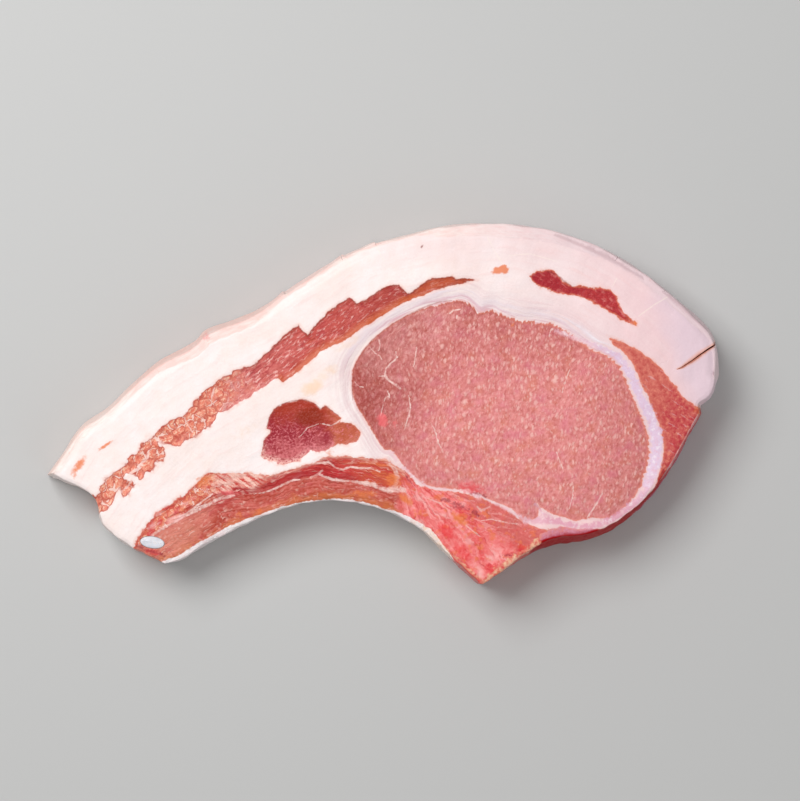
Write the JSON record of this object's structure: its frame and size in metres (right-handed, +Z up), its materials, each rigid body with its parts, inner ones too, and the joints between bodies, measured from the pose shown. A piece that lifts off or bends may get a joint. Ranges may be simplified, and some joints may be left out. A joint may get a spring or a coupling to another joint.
{
  "type": "raw pork chop",
  "caption": "Raw pork rib chop lying flat: round loin muscle, thick white fat cap with scored rind, streaky belly tail and a thin rib-meat edge along the curved inner side.",
  "frame": {"origin": "centre of the bounding box at its base, on the surface that the chop lies on", "axes": "+X along the chop's length from the belly tail to the loin, +Y towards the rind, +Z up through its thickness"},
  "size_m": [0.1941, 0.1042, 0.0228],
  "materials": {
    "meat": "moist satin, pink lean and white fat",
    "cartilage": "smooth, moist"
  },
  "bodies": {
    "root": {"chop": "meat", "rib_cartilage": "cartilage"}
  },
  "joints": []
}
